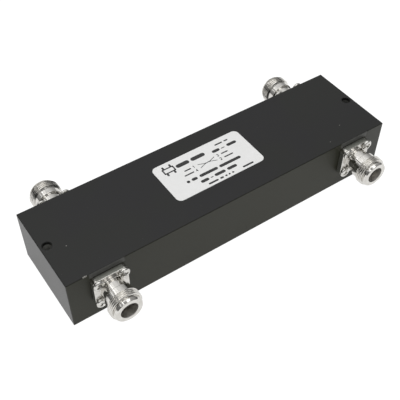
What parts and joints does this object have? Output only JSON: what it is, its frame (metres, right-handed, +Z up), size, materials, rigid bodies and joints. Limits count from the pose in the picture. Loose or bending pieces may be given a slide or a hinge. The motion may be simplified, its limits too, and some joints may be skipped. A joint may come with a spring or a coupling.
{
  "type": "hybrid coupler",
  "caption": "Black rectangular radio-frequency hybrid coupler block with coaxial jacks on its long faces and through holes near its ends.",
  "frame": {"origin": "centre of the housing's bottom face", "axes": "+X along the housing, from left to right as the picture shows it; +Y from the front face to the rear face; +Z up, towards the label"},
  "size_m": [0.184, 0.0854, 0.0302],
  "materials": {
    "black_paint": "satin black paint, slightly textured, chipped at one spot",
    "cover_paint": "satin black paint",
    "steel": "plain steel screws",
    "label_film": "white label film with black print",
    "nickel": "bright nickel plate",
    "ptfe": "waxy white fluoropolymer",
    "gold": "gold plate",
    "screw_nickel": "nickel-plated screws",
    "silver": "silver plate on brass strip"
  },
  "bodies": {
    "root": {"housing": "black_paint", "bottom_cover": "cover_paint", "cover_screws": "steel", "label": "label_film", "front_left_jack": "nickel", "front_left_insulator": "ptfe", "front_left_contact": "gold", "front_left_screws": "screw_nickel", "front_right_jack": "nickel", "front_right_insulator": "ptfe", "front_right_contact": "gold", "front_right_screws": "screw_nickel", "rear_left_jack": "nickel", "rear_left_insulator": "ptfe", "rear_left_contact": "gold", "rear_left_screws": "screw_nickel", "rear_right_jack": "nickel", "rear_right_insulator": "ptfe", "rear_right_contact": "gold", "rear_right_screws": "screw_nickel", "upper_stripline": "silver", "lower_stripline": "silver", "strip_spacers": "ptfe", "roof_posts": "ptfe", "floor_posts": "ptfe"}
  },
  "joints": []
}
